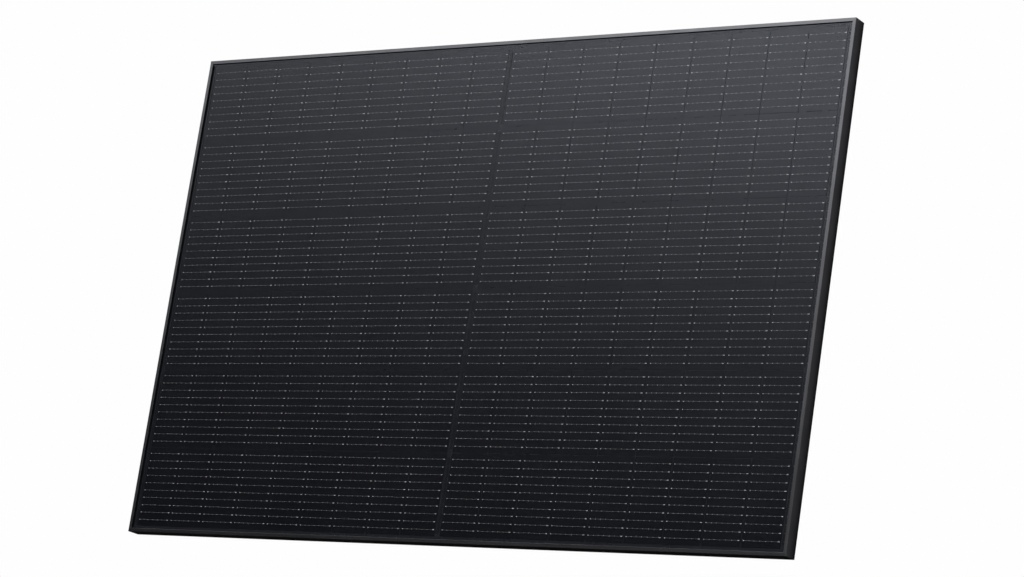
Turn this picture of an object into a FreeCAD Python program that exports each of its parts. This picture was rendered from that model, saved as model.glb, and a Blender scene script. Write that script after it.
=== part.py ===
import FreeCAD, Part
import math
import os

# A framed half-cell solar module, landscape, in millimetres.
# X runs along the long side, Y from the glass to the back, Z up.
# The origin is the centre of the plane that the rear flanges lie in, so the glass faces -Y.
# "Inset" is a distance inward from a frame rail's outer face.
# "Depth" is a distance back from the front lip's face.

V = FreeCAD.Vector

# Overall size
LENGTH = 1722.0
HEIGHT = 1134.0
DEPTH = 35.0
LONG_AXIS = V(1, 0, 0)
BACK_AXIS = V(0, 1, 0)
UP_AXIS = V(0, 0, 1)

# How far a cutter runs past the face that it opens
OVERCUT = 1.0

# Rail section
LIP_WIDTH = 7.7
LIP_THICKNESS = 1.6
OUTER_WALL = 1.3
LEDGE_INSET = 9.5
LEDGE_DEPTH = 6.9
LEDGE_THICKNESS = 1.4
INNER_WALL = 1.3
FLANGE_THICKNESS = 1.5
LONG_FLANGE = 33.0
SHORT_FLANGE = 20.0
EDGE_RADIUS = 0.4
CHAMBER_FRONT = LEDGE_DEPTH + LEDGE_THICKNESS
CHAMBER_BACK = DEPTH - FLANGE_THICKNESS
CHAMBER_OUTER = OUTER_WALL
CHAMBER_INNER = LEDGE_INSET - INNER_WALL

# Holes in the rear flanges
SLOT_WIDTH = 9.0
SLOT_LENGTH = 14.0
SLOT_INSET = 21.5
OUTER_SLOT_SPACING = 1400.0
INNER_SLOT_SPACING = 990.0
GROUND_HOLE_RADIUS = 2.1
GROUND_HOLE_SPACING = 1150.0
DRAIN_WIDTH = 3.5
DRAIN_LENGTH = 8.0
DRAIN_INSET = 14.0
DRAIN_FROM_CORNER = 45.0

# Laminate: inset of its edge and the depths of its layers
LAMINATE_INSET = 3.0
GLASS_DEPTH = 2.0
GLASS_THICKNESS = 3.2
GLASS_ARRIS = 0.4
ENCAPSULANT_THICKNESS = 0.45
CELL_THICKNESS = 0.2
BACKSHEET_THICKNESS = 0.3
FRONT_ENCAPSULANT_DEPTH = GLASS_DEPTH + GLASS_THICKNESS
CELL_DEPTH = FRONT_ENCAPSULANT_DEPTH + ENCAPSULANT_THICKNESS
CELL_BACK = CELL_DEPTH + CELL_THICKNESS
BACKSHEET_DEPTH = CELL_BACK + ENCAPSULANT_THICKNESS
LAMINATE_BACK = BACKSHEET_DEPTH + BACKSHEET_THICKNESS
LAMINATE_LENGTH = LENGTH - 2 * LAMINATE_INSET
LAMINATE_HEIGHT = HEIGHT - 2 * LAMINATE_INSET

# Silicone in the rail's groove
SEAL_FRONT_INSET = 7.2
SEAL_BEAD_INSET = 12.5
SEAL_BEAD_BACK = 8.2

# Half-cells
ROWS = 6
CELLS_PER_STRING = 9
CELL_LENGTH = 91.0
CELL_HEIGHT = 182.0
CELL_GAP = 2.0
CELL_CHAMFER = 1.5
CENTRE_GAP = 14.0
CELL_PITCH = CELL_LENGTH + CELL_GAP
ROW_PITCH = CELL_HEIGHT + CELL_GAP
STRING_LENGTH = CELLS_PER_STRING * CELL_PITCH - CELL_GAP
TOP_ROW_CENTRE = (ROWS - 1) / 2 * ROW_PITCH

# Interconnect wires and bus ribbons
WIRES_PER_CELL = 10
WIRE_PITCH = 17.2
WIRE_WIDTH = 0.3
WIRE_THICKNESS = 0.25
WIRE_START = 4.5
WIRE_REAR_END = 6.0
WIRE_BEND = 0.4
BUS_WIDTH = 6.0
END_BUS_WIDTH = 5.0
END_BUS_OFFSET = 6.0
BUS_OVERHANG = 6.0
CENTRE_REACH = CENTRE_GAP / 2 - 1.0
END_REACH = END_BUS_OFFSET + END_BUS_WIDTH / 2
WIRE_FRONT = CELL_DEPTH - WIRE_THICKNESS
WIRE_BACK = CELL_BACK + WIRE_THICKNESS

# Junction boxes
BOX_CENTRES = [2 * ROW_PITCH, 0.0, -2 * ROW_PITCH]
BOX_WIDTH = 56.0
BOX_LENGTH = 92.0
BOX_RADIUS = 5.0
BOX_WALL = 2.2
BOX_FLOOR = 2.0
ADHESIVE_THICKNESS = 1.0
ADHESIVE_MARGIN = 1.5
ADHESIVE_WIDTH = 7.0
BOX_FRONT = LAMINATE_BACK + ADHESIVE_THICKNESS
BOX_INSIDE = BOX_FRONT + BOX_FLOOR
BOX_RIM = 22.0
LID_THICKNESS = 2.0
LID_TONGUE = 1.6
LID_CLEARANCE = 0.15
LID_PANEL = 0.5
LID_PANEL_MARGIN = 9.0
WINDOW_WIDTH = 10.0
WINDOW_LENGTH = 62.0
POTTING_BACK = 18.0

# Lid latches: a lug on the wall holds the windowed tab that hangs from the lid
LATCH_SPACING = 56.0
TAB_WIDTH = 9.0
TAB_THICKNESS = 1.6
TAB_REACH = 8.0
LUG_WIDTH = 5.0
LUG_HEIGHT = 1.6
LUG_DEPTH = 17.0
LUG_TALL = 2.2
LATCH_CLEARANCE = 0.1

# Terminals, ribbon leads and diode
TERMINAL_SPREAD = 23.2
TERMINAL_LENGTH = 16.0
TERMINAL_NEAR = 5.0
TERMINAL_FAR = 22.0
TERMINAL_THICKNESS = 0.8
TERMINAL_BACK = 12.4
TERMINAL_FRONT = TERMINAL_BACK - TERMINAL_THICKNESS
POST_RADIUS = 3.0
LEAD_WIDTH = 8.0
LEAD_THICKNESS = 0.2
LEAD_FOOT = 2.4
LEAD_TIP = 11.0
LEAD_SLIT_WIDTH = 1.2
LEAD_SLIT_MARGIN = 1.0
DIODE_RADIUS = 2.7
DIODE_LENGTH = 9.0
DIODE_LEAD_RADIUS = 0.6
DIODE_ACROSS = 16.0

# Cable glands on the two outer boxes
GLAND_DEPTH = 15.6
SLEEVE_RADIUS = 5.5
SLEEVE_LENGTH = 11.0
SLEEVE_BORE = 3.6
SEAL_RADIUS = 4.5
SEAL_BORE = 3.1
SEAL_LENGTH = 6.0
NUT_RADIUS = 7.4
NUT_CLEARANCE = 0.05
NUT_START = 2.0
NUT_LENGTH = 12.0
NUT_GRIPS = 12
NUT_GRIP_RADIUS = 0.7
CABLE_CHANNEL = 8.0

# Corner keys inside the rails
KEY_ARM = 60.0
KEY_CLEARANCE = 0.2
KEY_BARB_WIDTH = 2.0
KEY_BARB = 0.8
KEY_BARB_PITCH = 12.0
KEY_BARBS = 3

# Blank rating label
LABEL_LENGTH = 120.0
LABEL_HEIGHT = 70.0
LABEL_THICKNESS = 0.1
LABEL_CENTRE = V(330.0, 0, 330.0)


def back(depth):
    """The Y coordinate of a depth behind the front lip."""
    return depth - DEPTH


def block(x0, x1, depth0, depth1, z0, z1):
    """A box between two X, two depth and two Z values."""
    corner = V(x0, back(depth0), z0)
    return Part.makeBox(x1 - x0, depth1 - depth0, z1 - z0, corner)


def centred_block(x, z, width, height, depth0, depth1):
    """A box centred on X and Z."""
    return block(x - width / 2, x + width / 2, depth0, depth1, z - height / 2, z + height / 2)


def outline(points):
    """A closed wire through the points, with a tangent arc at each point that has a radius."""
    edges = []
    starts = []
    ends = []
    count = len(points)
    for i, (here, radius) in enumerate(points):
        before = (points[i - 1][0] - here).normalize()
        after = (points[(i + 1) % count][0] - here).normalize()
        half_angle = before.getAngle(after) / 2
        setback = radius / math.tan(half_angle)
        start = here + before * setback
        end = here + after * setback
        starts.append(start)
        ends.append(end)
        if radius > 0:
            bisector = (before + after).normalize()
            middle = here + bisector * (radius / math.sin(half_angle) - radius)
            edges.append(Part.Arc(start, middle, end).toShape())
    for i in range(count):
        edges.append(Part.LineSegment(ends[i], starts[(i + 1) % count]).toShape())
    return Part.Wire(Part.__sortEdges__(edges))


def rounded_block(x, z, width, height, depth0, depth1, radius):
    """A block with rounded edges along Y."""
    y = back(depth0)
    corners = [(-1, -1), (1, -1), (1, 1), (-1, 1)]
    points = [(V(x + i * width / 2, y, z + k * height / 2), radius) for i, k in corners]
    return Part.Face(outline(points)).extrude(BACK_AXIS * (depth1 - depth0))


def cylinder(x, depth, z, radius, length, axis):
    """A cylinder that starts at a point and runs along an axis."""
    return Part.makeCylinder(radius, length, V(x, back(depth), z), axis)


def write(node, shapes):
    """Save a node's solids as one STEP file."""
    shape = shapes[0] if len(shapes) == 1 else Part.makeCompound(shapes)
    shape.exportStep("parts/" + node + ".step")


# Frame: each section is drawn for the bottom rail and turned about Y to its side

SIDES = {
    "bottom": (LENGTH, HEIGHT, 0, LONG_FLANGE),
    "right": (HEIGHT, LENGTH, -90, SHORT_FLANGE),
    "top": (LENGTH, HEIGHT, 180, LONG_FLANGE),
    "left": (HEIGHT, LENGTH, 90, SHORT_FLANGE),
}


def section_wire(points, length, across):
    """A closed section at the rail's start; each point is inset, depth and corner radius."""
    start = -length / 2
    base = -across / 2
    placed = [(V(start, back(depth), base + inset), radius) for inset, depth, radius in points]
    return outline(placed)


def mitred(shape, length, across, reach):
    """Cut both ends of a bottom-side bar at 45 degrees."""
    half = length / 2
    low = -across / 2
    corners = [V(-half, -DEPTH, low), V(half, -DEPTH, low)]
    corners += [V(half - reach, -DEPTH, low + reach), V(-half + reach, -DEPTH, low + reach)]
    wedge = Part.Face(Part.makePolygon(corners + corners[:1])).extrude(BACK_AXIS * DEPTH)
    return shape.common(wedge)


def turned(shape, angle):
    """Turn a bottom-side shape about Y to its own side."""
    placed = shape.copy()
    placed.rotate(V(0, 0, 0), BACK_AXIS, angle)
    return placed


def slot_cutter(x, z, length, width):
    """A round-ended slot along X through the rear flange."""
    depth0 = CHAMBER_BACK - OVERCUT
    depth1 = DEPTH + OVERCUT
    straight = (length - width) / 2
    cutter = centred_block(x, z, 2 * straight, width, depth0, depth1)
    for end in (-straight, straight):
        round_end = cylinder(x + end, depth0, z, width / 2, depth1 - depth0, BACK_AXIS)
        cutter = cutter.fuse(round_end)
    return cutter


def flange_cutters(length, across):
    """The holes in one flange, drawn on the bottom side."""
    base = -across / 2
    cutters = []
    for end in (-1, 1):
        x = end * (length / 2 - DRAIN_FROM_CORNER)
        cutters.append(slot_cutter(x, base + DRAIN_INSET, DRAIN_LENGTH, DRAIN_WIDTH))
    if length == LENGTH:
        z = base + SLOT_INSET
        for end in (-1, 1):
            for spacing in (OUTER_SLOT_SPACING, INNER_SLOT_SPACING):
                cutters.append(slot_cutter(end * spacing / 2, z, SLOT_LENGTH, SLOT_WIDTH))
            start = CHAMBER_BACK - OVERCUT
            reach = FLANGE_THICKNESS + 2 * OVERCUT
            x = end * GROUND_HOLE_SPACING / 2
            cutters.append(cylinder(x, start, z, GROUND_HOLE_RADIUS, reach, BACK_AXIS))
    return cutters


def frame_rail(side):
    """A hollow extruded rail with a front lip, a laminate groove and a rear flange."""
    length, across, angle, flange = SIDES[side]
    outer = [
        (0, 0, EDGE_RADIUS),
        (LIP_WIDTH, 0, EDGE_RADIUS),
        (LIP_WIDTH, LIP_THICKNESS, EDGE_RADIUS),
        (OUTER_WALL, LIP_THICKNESS, 0),
        (OUTER_WALL, LEDGE_DEPTH, 0),
        (LEDGE_INSET, LEDGE_DEPTH, EDGE_RADIUS),
        (LEDGE_INSET, CHAMBER_BACK, 0),
        (flange, CHAMBER_BACK, EDGE_RADIUS),
        (flange, DEPTH, EDGE_RADIUS),
        (0, DEPTH, EDGE_RADIUS),
    ]
    chamber = [
        (CHAMBER_OUTER, CHAMBER_FRONT, EDGE_RADIUS),
        (CHAMBER_INNER, CHAMBER_FRONT, EDGE_RADIUS),
        (CHAMBER_INNER, CHAMBER_BACK, EDGE_RADIUS),
        (CHAMBER_OUTER, CHAMBER_BACK, EDGE_RADIUS),
    ]
    bar = Part.Face(section_wire(outer, length, across)).extrude(LONG_AXIS * length)
    core = Part.Face(section_wire(chamber, length, across)).extrude(LONG_AXIS * length)
    bar = mitred(bar.cut(core), length, across, LONG_FLANGE)
    return turned(bar.cut(flange_cutters(length, across)), angle)


def edge_sealant(side):
    """The silicone that beds the laminate's edge, with a bead along the ledge behind it."""
    length, across, angle, _ = SIDES[side]
    points = [
        (OUTER_WALL, LIP_THICKNESS, 0),
        (SEAL_FRONT_INSET, LIP_THICKNESS, 0),
        (SEAL_FRONT_INSET, GLASS_DEPTH, 0),
        (LAMINATE_INSET, GLASS_DEPTH, 0),
        (LAMINATE_INSET, LAMINATE_BACK, 0),
        (SEAL_BEAD_INSET, LAMINATE_BACK, 0),
        (LEDGE_INSET, SEAL_BEAD_BACK, 0),
        (LEDGE_INSET, LEDGE_DEPTH, 0),
        (OUTER_WALL, LEDGE_DEPTH, 0),
    ]
    bar = Part.Face(section_wire(points, length, across)).extrude(LONG_AXIS * length)
    return turned(mitred(bar, length, across, LONG_FLANGE), angle)


def corner_key(x_sign, z_sign):
    """An L-shaped key that joins two rails inside their chambers, with barbs on each arm."""
    near = CHAMBER_OUTER + KEY_CLEARANCE
    far = CHAMBER_INNER - KEY_CLEARANCE
    depth0 = CHAMBER_FRONT + KEY_CLEARANCE
    depth1 = CHAMBER_BACK - KEY_CLEARANCE
    key = block(near, KEY_ARM, depth0, depth1, near, far)
    key = key.fuse(block(near, far, depth0, depth1, near, KEY_ARM))
    for i in range(KEY_BARBS):
        at = KEY_ARM - (i + 1) * KEY_BARB_PITCH
        groove_end = at + KEY_BARB_WIDTH
        key = key.cut(block(at, groove_end, depth0, depth1, far - KEY_BARB, far))
        key = key.cut(block(far - KEY_BARB, far, depth0, depth1, at, groove_end))
    key = key.removeSplitter()
    placed = key.translated(V(-LENGTH / 2, 0, -HEIGHT / 2))
    if x_sign > 0:
        placed = placed.mirror(V(0, 0, 0), LONG_AXIS)
    if z_sign > 0:
        placed = placed.mirror(V(0, 0, 0), UP_AXIS)
    return placed


# Laminate

def row_centre(row):
    """The Z of a cell row, counted down from the top."""
    return TOP_ROW_CENTRE - row * ROW_PITCH


def wire_heights(row):
    """The Z of each interconnect wire over one cell row."""
    middle = (WIRES_PER_CELL - 1) / 2
    return [row_centre(row) + (i - middle) * WIRE_PITCH for i in range(WIRES_PER_CELL)]


def string_start(side):
    """The X of a string's left end."""
    return -CENTRE_GAP / 2 - STRING_LENGTH if side == "left" else CENTRE_GAP / 2


def front_glass():
    """The tempered pane, with its edges arrissed."""
    back_depth = GLASS_DEPTH + GLASS_THICKNESS
    pane = centred_block(0, 0, LAMINATE_LENGTH, LAMINATE_HEIGHT, GLASS_DEPTH, back_depth)
    return pane.makeChamfer(GLASS_ARRIS, pane.Edges)


def lead_heights():
    """The Z of every ribbon lead that passes through the back of the laminate."""
    return [centre + offset for centre in BOX_CENTRES
            for offset in (-TERMINAL_SPREAD, TERMINAL_SPREAD)]


def grooved_sheet(outer_depth, inner_depth, groove_depth):
    """A sheet of encapsulant with a groove for every wire in its face on the cells."""
    start = -LAMINATE_LENGTH / 2
    points = [V(start, back(outer_depth), LAMINATE_HEIGHT / 2)]
    points.append(V(start, back(outer_depth), -LAMINATE_HEIGHT / 2))
    points.append(V(start, back(inner_depth), -LAMINATE_HEIGHT / 2))
    half = WIRE_WIDTH / 2
    heights = sorted(z for row in range(ROWS) for z in wire_heights(row))
    for z in heights:
        points.append(V(start, back(inner_depth), z - half))
        points.append(V(start, back(groove_depth), z - half))
        points.append(V(start, back(groove_depth), z + half))
        points.append(V(start, back(inner_depth), z + half))
    points.append(V(start, back(inner_depth), LAMINATE_HEIGHT / 2))
    face = Part.Face(Part.makePolygon(points + points[:1]))
    return face.extrude(LONG_AXIS * LAMINATE_LENGTH)


def front_encapsulant():
    """The sheet between the glass and the cells."""
    return grooved_sheet(FRONT_ENCAPSULANT_DEPTH, CELL_DEPTH, WIRE_FRONT)


def lead_slits():
    """Cutters for the slits that the ribbon leads pass through."""
    x = LEAD_FOOT - LEAD_THICKNESS / 2
    length = LEAD_WIDTH + 2 * LEAD_SLIT_MARGIN
    depths = (CELL_BACK, LAMINATE_BACK)
    return [centred_block(x, z, LEAD_SLIT_WIDTH, length, *depths) for z in lead_heights()]


def foot_recesses():
    """Cutters for the feet of the leads, which lie on the bus ribbons."""
    depths = (CELL_BACK, CELL_BACK + LEAD_THICKNESS)
    return [block(-LEAD_FOOT, LEAD_FOOT, *depths, z - LEAD_WIDTH / 2, z + LEAD_WIDTH / 2)
            for z in lead_heights()]


def rear_encapsulant():
    """The sheet between the cells and the backsheet, slit for the leads."""
    sheet = grooved_sheet(BACKSHEET_DEPTH, CELL_BACK, WIRE_BACK)
    return sheet.cut(lead_slits() + foot_recesses())


def backsheet():
    """The black rear film, slit for the leads."""
    depths = (BACKSHEET_DEPTH, LAMINATE_BACK)
    sheet = centred_block(0, 0, LAMINATE_LENGTH, LAMINATE_HEIGHT, *depths)
    return sheet.cut(lead_slits())


def half_cell(x0, z_centre):
    """One half-cell with small clipped corners; x0 is its left edge."""
    x1 = x0 + CELL_LENGTH
    z0 = z_centre - CELL_HEIGHT / 2
    z1 = z_centre + CELL_HEIGHT / 2
    y = back(CELL_DEPTH)
    c = CELL_CHAMFER
    pairs = [(x0 + c, z0), (x1 - c, z0), (x1, z0 + c), (x1, z1 - c)]
    pairs += [(x1 - c, z1), (x0 + c, z1), (x0, z1 - c), (x0, z0 + c)]
    points = [V(x, y, z) for x, z in pairs]
    face = Part.Face(Part.makePolygon(points + points[:1]))
    return face.extrude(BACK_AXIS * CELL_THICKNESS)


def cell_string(side, row):
    """Nine half-cells in a line."""
    start = string_start(side)
    z = row_centre(row)
    return [half_cell(start + i * CELL_PITCH, z) for i in range(CELLS_PER_STRING)]


def wire_outlines(side):
    """The outline of each wire along a string, as X and depth pairs.

    A wire lies on the front of one cell and bends through the gap to the back of the next.
    """
    start = string_start(side)
    under_bus, over_bus = (END_REACH, CENTRE_REACH) if side == "left" else (CENTRE_REACH, END_REACH)
    first_end = start + CELL_LENGTH - WIRE_REAR_END
    outlines = [flat_wire(start - under_bus, first_end, CELL_BACK, WIRE_BACK)]
    for i in range(CELLS_PER_STRING - 1):
        left = start + i * CELL_PITCH
        outlines.append(bent_wire(left + WIRE_START, left + CELL_LENGTH))
    last = start + (CELLS_PER_STRING - 1) * CELL_PITCH
    last_end = last + CELL_LENGTH + over_bus
    outlines.append(flat_wire(last + WIRE_START, last_end, WIRE_FRONT, CELL_DEPTH))
    return outlines


def flat_wire(x0, x1, depth0, depth1):
    """The outline of a straight wire."""
    return [(x0, depth0), (x1, depth0), (x1, depth1), (x0, depth1)]


def bent_wire(x0, cell_edge):
    """The outline of a wire that crosses a cell gap from front to back."""
    turn = cell_edge + WIRE_BEND
    landing = cell_edge + CELL_GAP - WIRE_BEND
    x1 = cell_edge + CELL_GAP + CELL_LENGTH - WIRE_REAR_END
    upper = [(x0, WIRE_FRONT), (turn, WIRE_FRONT), (landing, CELL_BACK), (x1, CELL_BACK)]
    lower = [(x1, WIRE_BACK), (landing, WIRE_BACK), (turn, CELL_DEPTH), (x0, CELL_DEPTH)]
    return upper + lower


def wire_set(side, row):
    """All the wires of one string."""
    wires = []
    for pairs in wire_outlines(side):
        points = [V(x, back(depth), -WIRE_WIDTH / 2) for x, depth in pairs]
        wire = Part.Face(Part.makePolygon(points + points[:1])).extrude(UP_AXIS * WIRE_WIDTH)
        for z in wire_heights(row):
            wires.append(wire.translated(V(0, 0, z)))
    return wires


def bus_ribbon(x, width, first_row, last_row):
    """A flat ribbon that joins the wires of neighbouring rows."""
    top = wire_heights(first_row)[-1] + BUS_OVERHANG
    bottom = wire_heights(last_row)[0] - BUS_OVERHANG
    return centred_block(x, (top + bottom) / 2, width, top - bottom, CELL_DEPTH, CELL_BACK)


def centre_bus_ribbons():
    """The ribbons in the centre gap: the two ends of the circuit and two links."""
    spans = [(0, 0), (1, 2), (3, 4), (5, 5)]
    return [bus_ribbon(0, BUS_WIDTH, first, last) for first, last in spans]


def end_bus_ribbons(sign):
    """The ribbons that link the rows in pairs at one end of the module."""
    x = sign * (CENTRE_GAP / 2 + STRING_LENGTH + END_BUS_OFFSET)
    return [bus_ribbon(x, END_BUS_WIDTH, row, row + 1) for row in range(0, ROWS, 2)]


def ribbon_lead(z):
    """A folded ribbon from the centre bus, through the back, onto a terminal."""
    z0 = z - LEAD_WIDTH / 2
    z1 = z + LEAD_WIDTH / 2
    foot_back = CELL_BACK + LEAD_THICKNESS
    fold_back = TERMINAL_BACK + LEAD_THICKNESS
    foot = block(-LEAD_FOOT, LEAD_FOOT, CELL_BACK, foot_back, z0, z1)
    riser = block(LEAD_FOOT - LEAD_THICKNESS, LEAD_FOOT, CELL_BACK, fold_back, z0, z1)
    tip = block(LEAD_FOOT - LEAD_THICKNESS, LEAD_TIP, TERMINAL_BACK, fold_back, z0, z1)
    return foot.fuse([riser, tip]).removeSplitter()


# Junction boxes

def box_walls(z):
    """The open tray of a junction box, with its window for the leads."""
    body = rounded_block(0, z, BOX_WIDTH, BOX_LENGTH, BOX_FRONT, BOX_RIM, BOX_RADIUS)
    inner_width = BOX_WIDTH - 2 * BOX_WALL
    inner_length = BOX_LENGTH - 2 * BOX_WALL
    inner_radius = BOX_RADIUS - BOX_WALL
    pocket_depths = (BOX_INSIDE, BOX_RIM + OVERCUT)
    pocket = rounded_block(0, z, inner_width, inner_length, *pocket_depths, inner_radius)
    window_depths = (BOX_FRONT - OVERCUT, BOX_INSIDE + OVERCUT)
    window = centred_block(0, z, WINDOW_WIDTH, WINDOW_LENGTH, *window_depths)
    return body.cut([pocket, window])


def latch_places(z):
    """The side and Z of each lid latch."""
    return [(side, z + end * LATCH_SPACING / 2) for side in (-1, 1) for end in (-1, 1)]


def latch_lug(side, z):
    """A ramped lug on the box wall."""
    wall = side * BOX_WIDTH / 2
    reach = side * LUG_HEIGHT
    pairs = [(wall, LUG_DEPTH - LUG_TALL), (wall + reach, LUG_DEPTH - LUG_TALL)]
    pairs += [(wall + reach / 2, LUG_DEPTH), (wall, LUG_DEPTH)]
    points = [V(x, back(depth), z - LUG_WIDTH / 2) for x, depth in pairs]
    return Part.Face(Part.makePolygon(points + points[:1])).extrude(UP_AXIS * LUG_WIDTH)


def terminal_posts(z):
    """The posts that hold the two terminals clear of the floor."""
    x = (TERMINAL_NEAR + TERMINAL_FAR) / 2
    height = TERMINAL_FRONT - BOX_INSIDE
    return [cylinder(x, BOX_INSIDE, z + end * TERMINAL_SPREAD, POST_RADIUS, height, BACK_AXIS)
            for end in (-1, 1)]


def gland_axis(z):
    """The direction that a box's cable leaves in: away from the module's centre."""
    return UP_AXIS if z > 0 else UP_AXIS * -1


def gland_mouth(z):
    """The Z of the wall that a gland stands on."""
    return z + gland_axis(z).z * BOX_LENGTH / 2


def box_base(z):
    """A junction box's tray, with lugs, posts and, on the outer boxes, a gland sleeve."""
    base = box_walls(z).fuse([latch_lug(side, at) for side, at in latch_places(z)])
    base = base.fuse(terminal_posts(z))
    if z != 0:
        axis = gland_axis(z)
        wall = gland_mouth(z)
        inside = wall - axis.z * BOX_WALL
        sleeve = cylinder(0, GLAND_DEPTH, inside, SLEEVE_RADIUS, BOX_WALL + SLEEVE_LENGTH, axis)
        bore_start = inside - axis.z * OVERCUT
        bore_length = BOX_WALL + SLEEVE_LENGTH + 2 * OVERCUT
        bore = cylinder(0, GLAND_DEPTH, bore_start, SLEEVE_BORE, bore_length, axis)
        seat_start = wall + axis.z * (SLEEVE_LENGTH - SEAL_LENGTH)
        seat_length = SEAL_LENGTH + OVERCUT
        seat = cylinder(0, GLAND_DEPTH, seat_start, SEAL_RADIUS, seat_length, axis)
        base = base.fuse(sleeve).cut([bore, seat])
    return base.removeSplitter()


def lid_tab(side, z):
    """A tab that hangs from the lid's edge, with a window for the lug."""
    inner = BOX_WIDTH / 2 + LATCH_CLEARANCE
    outer = inner + TAB_THICKNESS
    low = min(side * inner, side * outer)
    rim_back = BOX_RIM + LID_THICKNESS
    tab = block(low, low + TAB_THICKNESS, BOX_RIM - TAB_REACH, rim_back,
                z - TAB_WIDTH / 2, z + TAB_WIDTH / 2)
    window = block(low - OVERCUT, low + TAB_THICKNESS + OVERCUT,
                   LUG_DEPTH - LUG_TALL - LATCH_CLEARANCE, LUG_DEPTH + LATCH_CLEARANCE,
                   z - LUG_WIDTH / 2 - LATCH_CLEARANCE, z + LUG_WIDTH / 2 + LATCH_CLEARANCE)
    bridge = block(min(0, side * inner), max(0, side * inner), BOX_RIM, rim_back,
                   z - TAB_WIDTH / 2, z + TAB_WIDTH / 2)
    return tab.cut(window).fuse(bridge)


def box_lid(z):
    """A junction box's snap-on lid, with a tongue inside the walls and a raised panel."""
    rim_back = BOX_RIM + LID_THICKNESS
    lid = rounded_block(0, z, BOX_WIDTH, BOX_LENGTH, BOX_RIM, rim_back, BOX_RADIUS)
    tongue_width = BOX_WIDTH - 2 * (BOX_WALL + LID_CLEARANCE)
    tongue_length = BOX_LENGTH - 2 * (BOX_WALL + LID_CLEARANCE)
    tongue_radius = BOX_RADIUS - BOX_WALL - LID_CLEARANCE
    tongue_front = BOX_RIM - LID_TONGUE
    tongue = rounded_block(0, z, tongue_width, tongue_length, tongue_front, BOX_RIM, tongue_radius)
    hollow = rounded_block(0, z, tongue_width - 2 * BOX_WALL, tongue_length - 2 * BOX_WALL,
                           tongue_front, BOX_RIM, tongue_radius / 2)
    panel_width = BOX_WIDTH - 2 * LID_PANEL_MARGIN
    panel_length = BOX_LENGTH - 2 * LID_PANEL_MARGIN
    panel_back = rim_back + LID_PANEL
    panel = rounded_block(0, z, panel_width, panel_length, rim_back, panel_back, BOX_RADIUS)
    lid = lid.fuse([tongue.cut(hollow), panel])
    tabs = [lid_tab(side, at) for side, at in latch_places(z)]
    return lid.fuse(tabs).removeSplitter()


def adhesive_bead(z):
    """The ring of silicone that holds a box to the backsheet."""
    width = BOX_WIDTH + 2 * ADHESIVE_MARGIN
    length = BOX_LENGTH + 2 * ADHESIVE_MARGIN
    depths = (LAMINATE_BACK, BOX_FRONT)
    radius = BOX_RADIUS + ADHESIVE_MARGIN
    ring = rounded_block(0, z, width, length, *depths, radius)
    opening = rounded_block(0, z, width - 2 * ADHESIVE_WIDTH, length - 2 * ADHESIVE_WIDTH,
                            *depths, radius / 2)
    return ring.cut(opening)


def terminal_pair(z):
    """The two copper terminals of a box."""
    x = (TERMINAL_NEAR + TERMINAL_FAR) / 2
    width = TERMINAL_FAR - TERMINAL_NEAR
    return [centred_block(x, z + end * TERMINAL_SPREAD, width, TERMINAL_LENGTH,
                          TERMINAL_FRONT, TERMINAL_BACK) for end in (-1, 1)]


def bypass_diode(z):
    """An axial diode that lies across the two terminals."""
    depth = TERMINAL_BACK + DIODE_LEAD_RADIUS
    reach = TERMINAL_SPREAD + TERMINAL_LENGTH / 4
    lead = cylinder(DIODE_ACROSS, depth, z - reach, DIODE_LEAD_RADIUS, 2 * reach, UP_AXIS)
    start = z - DIODE_LENGTH / 2
    body = cylinder(DIODE_ACROSS, depth, start, DIODE_RADIUS, DIODE_LENGTH, UP_AXIS)
    return body.fuse(lead).removeSplitter()


def potting(z, buried):
    """The gel that fills a box to above its terminals, cast round what it buries."""
    width = BOX_WIDTH - 2 * BOX_WALL
    length = BOX_LENGTH - 2 * BOX_WALL
    radius = BOX_RADIUS - BOX_WALL
    gel = rounded_block(0, z, width, length, BOX_INSIDE, POTTING_BACK, radius)
    cutters = list(buried)
    if z != 0:
        axis = gland_axis(z)
        start = gland_mouth(z) - axis.z * (BOX_WALL + CABLE_CHANNEL)
        reach = CABLE_CHANNEL + OVERCUT
        cutters.append(cylinder(0, GLAND_DEPTH, start, SLEEVE_BORE, reach, axis))
    return gel.cut(cutters)


def gland_seal(z):
    """The rubber ring that grips a cable."""
    axis = gland_axis(z)
    start = gland_mouth(z) + axis.z * (SLEEVE_LENGTH - SEAL_LENGTH)
    ring = cylinder(0, GLAND_DEPTH, start, SEAL_RADIUS, SEAL_LENGTH, axis)
    return ring.cut(cylinder(0, GLAND_DEPTH, start, SEAL_BORE, SEAL_LENGTH, axis))


def gland_nut(z):
    """The grooved nut that closes a gland."""
    axis = gland_axis(z)
    start = gland_mouth(z) + axis.z * NUT_START
    nut = cylinder(0, GLAND_DEPTH, start, NUT_RADIUS, NUT_LENGTH, axis)
    inside_length = SLEEVE_LENGTH - NUT_START
    inside = cylinder(0, GLAND_DEPTH, start, SLEEVE_RADIUS + NUT_CLEARANCE, inside_length, axis)
    mouth = cylinder(0, GLAND_DEPTH, start, SLEEVE_BORE, NUT_LENGTH, axis)
    grips = []
    for i in range(NUT_GRIPS):
        angle = 2 * math.pi * i / NUT_GRIPS
        x = NUT_RADIUS * math.cos(angle)
        depth = GLAND_DEPTH + NUT_RADIUS * math.sin(angle)
        grips.append(cylinder(x, depth, start, NUT_GRIP_RADIUS, NUT_LENGTH, axis))
    return nut.cut([inside, mouth] + grips)


def rating_label():
    """A blank label on the backsheet."""
    depths = (LAMINATE_BACK, LAMINATE_BACK + LABEL_THICKNESS)
    return centred_block(LABEL_CENTRE.x, LABEL_CENTRE.z, LABEL_LENGTH, LABEL_HEIGHT, *depths)


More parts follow.
